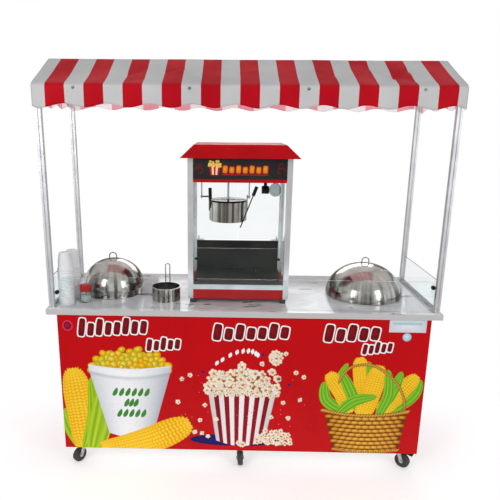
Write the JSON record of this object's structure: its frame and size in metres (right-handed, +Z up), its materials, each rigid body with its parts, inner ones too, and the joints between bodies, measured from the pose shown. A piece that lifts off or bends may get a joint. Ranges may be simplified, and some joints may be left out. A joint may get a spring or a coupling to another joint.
{
  "type": "popcorn cart",
  "caption": "Catering cart on swivel casters with a striped gable canopy, a glass-sided popping machine with tilting kettle, and lidded pots sunk in the worktop.",
  "frame": {"origin": "on the floor under the middle of the worktop", "axes": "+Z up, +Y towards the operator, -Y towards the customers, +X to the right as a customer sees it"},
  "size_m": [1.88, 0.656, 2.016],
  "materials": {
    "marble_laminate": "board with a pale marble-pattern laminate, high gloss",
    "print_red": "board faced with a glossy printed film",
    "board_red": "board faced with a plain red film",
    "board_white": "melamine-faced board, satin",
    "zinc_steel": "zinc plated",
    "post_aluminium": "satin anodised",
    "striped_cloth": "woven awning cloth in red and white stripes",
    "clear_acrylic": "clear acrylic sheet",
    "grey_plastic": "extruded grey plastic",
    "black_plastic": "moulded, satin",
    "red_enamel": "gloss enamel",
    "wheel_rubber": "moulded rubber",
    "dark_enamel": "dark non-stick coating",
    "brushed_stainless": "brushed",
    "polished_stainless": "polished",
    "sign_black": "gloss acrylic",
    "pane_glass": "clear float glass",
    "white_enamel": "gloss",
    "motor_iron": "painted casting",
    "switch_plastic": "moulded, gloss"
  },
  "bodies": {
    "cart": {"bottom_board": "board_white", "cabinet_hinges": "zinc_steel", "canopy_cover": "striped_cloth", "canopy_frame": "post_aluminium", "canopy_posts": "post_aluminium", "caster_plates": "zinc_steel", "centre_divider": "board_white", "door_pivots": "white_enamel", "drive_motor": "motor_iron", "floor_deck": "dark_enamel", "front_guard": "clear_acrylic", "front_panel": "print_red", "guard_channels": "grey_plastic", "guard_knobs": "black_plastic", "hanger_arms": "brushed_stainless", "lamp_bulb": "pane_glass", "lamp_holder": "black_plastic", "machine_base": "red_enamel", "machine_ceiling": "red_enamel", "machine_corner_posts": "post_aluminium", "machine_feet": "wheel_rubber", "machine_glass": "pane_glass", "machine_roof": "red_enamel", "pot_heaters": "motor_iron", "shelf_boards": "board_white", "side_guards": "clear_acrylic", "side_panels": "board_red", "sign_panel": "sign_black", "worktop": "marble_laminate"},
    "caster_fork_front_left": {"caster_fork_front_left": "zinc_steel"},
    "caster_wheel_front_left": {"caster_wheel_front_left": "wheel_rubber"},
    "caster_fork_front_middle": {"caster_fork_front_middle": "zinc_steel"},
    "caster_wheel_front_middle": {"caster_wheel_front_middle": "wheel_rubber"},
    "caster_fork_front_right": {"caster_fork_front_right": "zinc_steel"},
    "caster_wheel_front_right": {"caster_wheel_front_right": "wheel_rubber"},
    "caster_fork_rear_left": {"caster_fork_rear_left": "zinc_steel"},
    "caster_wheel_rear_left": {"caster_wheel_rear_left": "wheel_rubber"},
    "caster_fork_rear_middle": {"caster_fork_rear_middle": "zinc_steel"},
    "caster_wheel_rear_middle": {"caster_wheel_rear_middle": "wheel_rubber"},
    "caster_fork_rear_right": {"caster_fork_rear_right": "zinc_steel"},
    "caster_wheel_rear_right": {"caster_wheel_rear_right": "wheel_rubber"},
    "brake_pedal": {"brake_pedal": "black_plastic"},
    "cabinet_door_left": {"cabinet_door_left": "board_white"},
    "cabinet_door_right": {"cabinet_door_right": "board_white"},
    "machine_door_left": {"machine_door_left": "clear_acrylic"},
    "machine_door_right": {"machine_door_right": "clear_acrylic"},
    "crumb_drawer": {"crumb_drawer": "brushed_stainless"},
    "kettle": {"kettle_pot": "polished_stainless", "kettle_handles": "black_plastic"},
    "kettle_lid_front": {"kettle_lid_front": "polished_stainless"},
    "kettle_lid_rear": {"kettle_lid_rear": "polished_stainless"},
    "drive_shaft": {"drive_shaft": "brushed_stainless"},
    "stirrer": {"stirrer": "brushed_stainless"},
    "rocker_switch_heat": {"rocker_switch_heat": "switch_plastic"},
    "rocker_switch_motor": {"rocker_switch_motor": "switch_plastic"},
    "corn_pot": {"corn_pot": "polished_stainless"},
    "corn_pot_lid": {"corn_pot_lid": "polished_stainless"},
    "cob_pot": {"cob_pot": "polished_stainless"},
    "cob_pot_lid": {"cob_pot_lid": "polished_stainless"},
    "saucepan": {"saucepan": "polished_stainless"}
  },
  "joints": [
    {"name": "caster_front_left_swivel", "type": "hinge", "parent": "cart", "child": "caster_fork_front_left", "pos_m": [-0.822, -0.25, 0.098], "axis": [0, 0, 1], "continuous": true},
    {"name": "caster_front_left_roll", "type": "hinge", "parent": "caster_fork_front_left", "child": "caster_wheel_front_left", "pos_m": [-0.83678, -0.26891, 0.0375], "axis": [0.788, -0.6157, 0], "continuous": true},
    {"name": "caster_front_middle_swivel", "type": "hinge", "parent": "cart", "child": "caster_fork_front_middle", "pos_m": [0, -0.25, 0.098], "axis": [0, 0, 1], "continuous": true},
    {"name": "caster_front_middle_roll", "type": "hinge", "parent": "caster_fork_front_middle", "child": "caster_wheel_front_middle", "pos_m": [0.00167, -0.27394, 0.0375], "axis": [0.9976, 0.0698, 0], "continuous": true},
    {"name": "caster_front_right_swivel", "type": "hinge", "parent": "cart", "child": "caster_fork_front_right", "pos_m": [0.822, -0.25, 0.098], "axis": [0, 0, 1], "continuous": true},
    {"name": "caster_front_right_roll", "type": "hinge", "parent": "caster_fork_front_right", "child": "caster_wheel_front_right", "pos_m": [0.84091, -0.26478, 0.0375], "axis": [0.6157, 0.788, 0], "continuous": true},
    {"name": "caster_rear_left_swivel", "type": "hinge", "parent": "cart", "child": "caster_fork_rear_left", "pos_m": [-0.822, 0.25, 0.098], "axis": [0, 0, 1], "continuous": true},
    {"name": "caster_rear_left_roll", "type": "hinge", "parent": "caster_fork_rear_left", "child": "caster_wheel_rear_left", "pos_m": [-0.83176, 0.22807, 0.0375], "axis": [0.9135, -0.4067, 0], "continuous": true},
    {"name": "caster_rear_middle_swivel", "type": "hinge", "parent": "cart", "child": "caster_fork_rear_middle", "pos_m": [0, 0.25, 0.098], "axis": [0, 0, 1], "continuous": true},
    {"name": "caster_rear_middle_roll", "type": "hinge", "parent": "caster_fork_rear_middle", "child": "caster_wheel_rear_middle", "pos_m": [0.012, 0.22922, 0.0375], "axis": [0.866, 0.5, 0], "continuous": true},
    {"name": "caster_rear_right_swivel", "type": "hinge", "parent": "cart", "child": "caster_fork_rear_right", "pos_m": [0.822, 0.25, 0.098], "axis": [0, 0, 1], "continuous": true},
    {"name": "caster_rear_right_roll", "type": "hinge", "parent": "caster_fork_rear_right", "child": "caster_wheel_rear_right", "pos_m": [0.82699, 0.22652, 0.0375], "axis": [0.9781, 0.2079, 0], "continuous": true},
    {"name": "brake_press", "type": "hinge", "parent": "caster_fork_front_right", "child": "brake_pedal", "pos_m": [0.82988, -0.25616, 0.084], "axis": [0.6157, 0.788, 0], "range_deg": [0, 8]},
    {"name": "cabinet_door_left_swing", "type": "hinge", "parent": "cart", "child": "cabinet_door_left", "pos_m": [-0.897, 0.323, 0.468], "axis": [0, 0, 1], "range_deg": [0, 105]},
    {"name": "cabinet_door_right_swing", "type": "hinge", "parent": "cart", "child": "cabinet_door_right", "pos_m": [0.897, 0.323, 0.468], "axis": [0, 0, -1], "range_deg": [0, 105]},
    {"name": "machine_door_left_swing", "type": "hinge", "parent": "cart", "child": "machine_door_left", "pos_m": [-0.236, 0.152, 1.272], "axis": [0, 0, 1], "range_deg": [0, 105]},
    {"name": "machine_door_right_swing", "type": "hinge", "parent": "cart", "child": "machine_door_right", "pos_m": [0.188, 0.152, 1.272], "axis": [0, 0, -1], "range_deg": [0, 105]},
    {"name": "crumb_drawer_slide", "type": "slide", "parent": "cart", "child": "crumb_drawer", "axis": [0, 1, 0], "range_m": [0, 0.24]},
    {"name": "kettle_tilt", "type": "hinge", "parent": "cart", "child": "kettle", "pos_m": [-0.078, -0.015, 1.36], "axis": [1, 0, 0], "range_deg": [0, 90]},
    {"name": "kettle_lid_front_flip", "type": "hinge", "parent": "kettle", "child": "kettle_lid_front", "pos_m": [-0.078, -0.023, 1.346], "axis": [1, 0, 0], "range_deg": [-80, 0]},
    {"name": "kettle_lid_rear_flip", "type": "hinge", "parent": "kettle", "child": "kettle_lid_rear", "pos_m": [-0.078, -0.007, 1.346], "axis": [-1, 0, 0], "range_deg": [-80, 0]},
    {"name": "drive_spin", "type": "hinge", "parent": "cart", "child": "drive_shaft", "pos_m": [-0.078, -0.015, 1.4], "axis": [0, 0, 1], "continuous": true},
    {"name": "stirrer_spin", "type": "hinge", "parent": "kettle", "child": "stirrer", "pos_m": [-0.078, -0.015, 1.3], "axis": [0, 0, 1], "continuous": true},
    {"name": "rocker_switch_heat_press", "type": "hinge", "parent": "cart", "child": "rocker_switch_heat", "pos_m": [0.08, 0.157, 1.5], "axis": [-1, 0, 0], "range_deg": [0, 20]},
    {"name": "rocker_switch_motor_press", "type": "hinge", "parent": "cart", "child": "rocker_switch_motor", "pos_m": [0.13, 0.157, 1.5], "axis": [-1, 0, 0], "range_deg": [0, 20]},
    {"name": "corn_pot_lift", "type": "slide", "parent": "cart", "child": "corn_pot", "axis": [0, 0, 1], "range_m": [0, 0.25]},
    {"name": "corn_lid_lift", "type": "slide", "parent": "corn_pot", "child": "corn_pot_lid", "axis": [0, 0, 1], "range_m": [0, 0.3]},
    {"name": "cob_pot_lift", "type": "slide", "parent": "cart", "child": "cob_pot", "axis": [0, 0, 1], "range_m": [0, 0.24]},
    {"name": "cob_lid_lift", "type": "slide", "parent": "cob_pot", "child": "cob_pot_lid", "axis": [0, 0, 1], "range_m": [0, 0.3]},
    {"name": "saucepan_lift", "type": "slide", "parent": "cart", "child": "saucepan", "axis": [0, 0, 1], "range_m": [0, 0.2]}
  ],
  "couplings": [
    {"joint": "stirrer_spin", "follows": "drive_spin", "ratio": 1}
  ]
}
